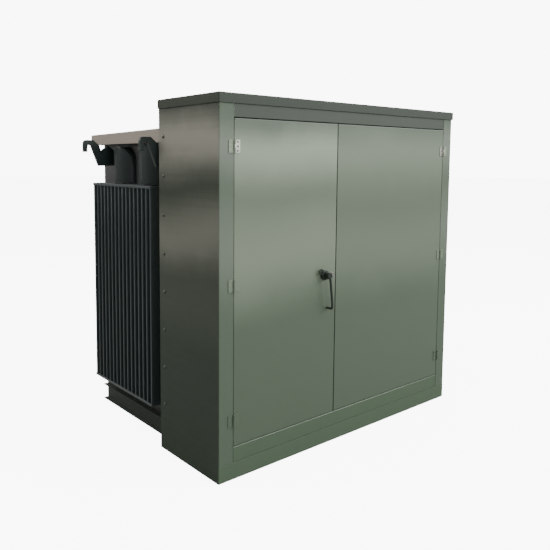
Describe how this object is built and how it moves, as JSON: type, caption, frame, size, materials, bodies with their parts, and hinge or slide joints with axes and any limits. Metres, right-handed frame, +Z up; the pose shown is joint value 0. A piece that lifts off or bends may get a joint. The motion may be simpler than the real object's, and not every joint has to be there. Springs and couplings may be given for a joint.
{
  "type": "pad-mounted transformer",
  "caption": "Green steel pad-mounted transformer: two-door terminal cabinet with hood on the front of an oil tank with fin radiators and lifting hooks.",
  "frame": {"origin": "centre of the whole object's footprint box, at pad level", "axes": "+Z up, -Y out of the doors, +X towards the low-voltage (wide door) side"},
  "size_m": [2.0466, 1.4602, 1.85],
  "materials": {
    "cabinet_paint": "semi-gloss sage green enamel",
    "door_paint": "gloss sage green enamel",
    "tank_paint": "semi-gloss grey-green enamel",
    "cover_paint": "semi-gloss warm light grey enamel",
    "radiator_paint": "semi-gloss very dark green enamel",
    "hinge_steel": "brushed stainless",
    "plated_steel": "zinc plated",
    "dark_steel": "dark green enamel on steel",
    "epoxy": "moulded brown epoxy",
    "fuse_metal": "plated metal with a moulded grip",
    "terminal_brass": "plain brass",
    "gasket_rubber": "matt black cork and nitrile",
    "gauge_face": "grey bezel and pale dial",
    "nameplate_metal": "blank brushed aluminium",
    "core_steel": "laminated silicon steel",
    "winding_copper": "varnished paper-wrapped copper"
  },
  "bodies": {
    "frame": {"side_panel_left": "cabinet_paint", "side_panel_right": "cabinet_paint", "back_frame": "cabinet_paint", "header_rail": "cabinet_paint", "sill_panel": "cabinet_paint", "toe_rail": "cabinet_paint", "compartment_barrier": "cabinet_paint", "tank_body": "tank_paint", "base_rail_left": "tank_paint", "base_rail_right": "tank_paint", "base_rail_rear": "tank_paint", "tank_cover": "cover_paint", "radiator_left": "radiator_paint", "radiator_right": "radiator_paint", "lifting_hook_front_left": "radiator_paint", "lifting_hook_front_right": "radiator_paint", "lifting_hook_rear_left": "radiator_paint", "lifting_hook_rear_right": "radiator_paint", "hinge_left_lower": "hinge_steel", "hinge_left_middle": "hinge_steel", "hinge_left_upper": "hinge_steel", "hinge_right_lower": "hinge_steel", "hinge_right_middle": "hinge_steel", "hinge_right_upper": "hinge_steel", "hood_hinge": "hinge_steel", "hv_bushing_a": "epoxy", "hv_bushing_b": "epoxy", "hv_bushing_c": "epoxy", "fuse_housings": "epoxy", "lv_bushing_0": "terminal_brass", "lv_bushing_1": "terminal_brass", "lv_bushing_2": "terminal_brass", "lv_bushing_3": "terminal_brass", "relief_valve": "terminal_brass", "drain_valve": "terminal_brass", "cover_gasket": "gasket_rubber", "level_gauge": "gauge_face", "thermometer": "gauge_face", "pressure_gauge": "gauge_face", "nameplate": "nameplate_metal", "core": "core_steel", "coil_a": "winding_copper", "coil_b": "winding_copper", "coil_c": "winding_copper"},
    "left_door": {"left_door": "door_paint", "handle_escutcheon": "dark_steel"},
    "right_door": {"right_door": "door_paint"},
    "hood": {"hood": "cabinet_paint"},
    "handle": {"handle_lever": "dark_steel", "latch_cam": "dark_steel"},
    "latch_rod_upper": {"latch_rod_upper": "plated_steel"},
    "latch_rod_lower": {"latch_rod_lower": "plated_steel"},
    "captive_bolt": {"captive_bolt": "plated_steel"},
    "fuse_a": {"bayonet_fuse_a": "fuse_metal"},
    "fuse_b": {"bayonet_fuse_b": "fuse_metal"},
    "fuse_c": {"bayonet_fuse_c": "fuse_metal"},
    "switch_handle": {"switch_handle": "dark_steel"},
    "tap_handle": {"tap_handle": "terminal_brass"},
    "relief_ring": {"relief_ring": "plated_steel"},
    "drain_wheel": {"drain_valve_wheel": "dark_steel"}
  },
  "joints": [
    {"name": "left_door_hinge", "type": "hinge", "parent": "frame", "child": "left_door", "pos_m": [-0.8365, -0.68645, 0.951], "axis": [0, 0, -1], "range_deg": [0, 120]},
    {"name": "right_door_hinge", "type": "hinge", "parent": "frame", "child": "right_door", "pos_m": [0.8365, -0.68645, 0.951], "axis": [0, 0, 1], "range_deg": [0, 120]},
    {"name": "hood_hinge", "type": "hinge", "parent": "frame", "child": "hood", "pos_m": [0, -0.15655, 1.844], "axis": [-1, 0, 0], "range_deg": [0, 95]},
    {"name": "handle_turn", "type": "hinge", "parent": "left_door", "child": "handle", "pos_m": [-0.226, -0.68015, 0.937], "axis": [0, 1, 0], "range_deg": [0, 90]},
    {"name": "latch_rod_upper_slide", "type": "slide", "parent": "left_door", "child": "latch_rod_upper", "axis": [0, 0, -1], "range_m": [0, 0.0301]},
    {"name": "latch_rod_lower_slide", "type": "slide", "parent": "left_door", "child": "latch_rod_lower", "axis": [0, 0, 1], "range_m": [0, 0.0301]},
    {"name": "captive_bolt_turn", "type": "hinge", "parent": "left_door", "child": "captive_bolt", "pos_m": [-0.163, -0.68015, 0.935], "axis": [0, 1, 0], "continuous": true},
    {"name": "fuse_a_withdraw", "type": "slide", "parent": "frame", "child": "fuse_a", "axis": [0, -1, 0], "range_m": [0, 0.25]},
    {"name": "fuse_b_withdraw", "type": "slide", "parent": "frame", "child": "fuse_b", "axis": [0, -1, 0], "range_m": [0, 0.25]},
    {"name": "fuse_c_withdraw", "type": "slide", "parent": "frame", "child": "fuse_c", "axis": [0, -1, 0], "range_m": [0, 0.25]},
    {"name": "switch_turn", "type": "hinge", "parent": "frame", "child": "switch_handle", "pos_m": [-0.5705, -0.16345, 1.225], "axis": [0, 1, 0], "range_deg": [0, 90]},
    {"name": "tap_turn", "type": "hinge", "parent": "frame", "child": "tap_handle", "pos_m": [-0.4005, -0.16345, 1.225], "axis": [0, 1, 0], "range_deg": [0, 144]},
    {"name": "relief_pull", "type": "slide", "parent": "frame", "child": "relief_ring", "axis": [0, -1, 0], "range_m": [0, 0.006], "stiffness_N_per_m": 600},
    {"name": "drain_wheel_turn", "type": "hinge", "parent": "frame", "child": "drain_wheel", "pos_m": [0.73, -0.22345, 0.315], "axis": [0, 0, 1], "range_deg": [0, 720]}
  ],
  "couplings": [
    {"joint": "latch_rod_upper_slide", "follows": "handle_turn", "m_per_rad": 0.019099},
    {"joint": "latch_rod_lower_slide", "follows": "handle_turn", "m_per_rad": 0.019099}
  ]
}
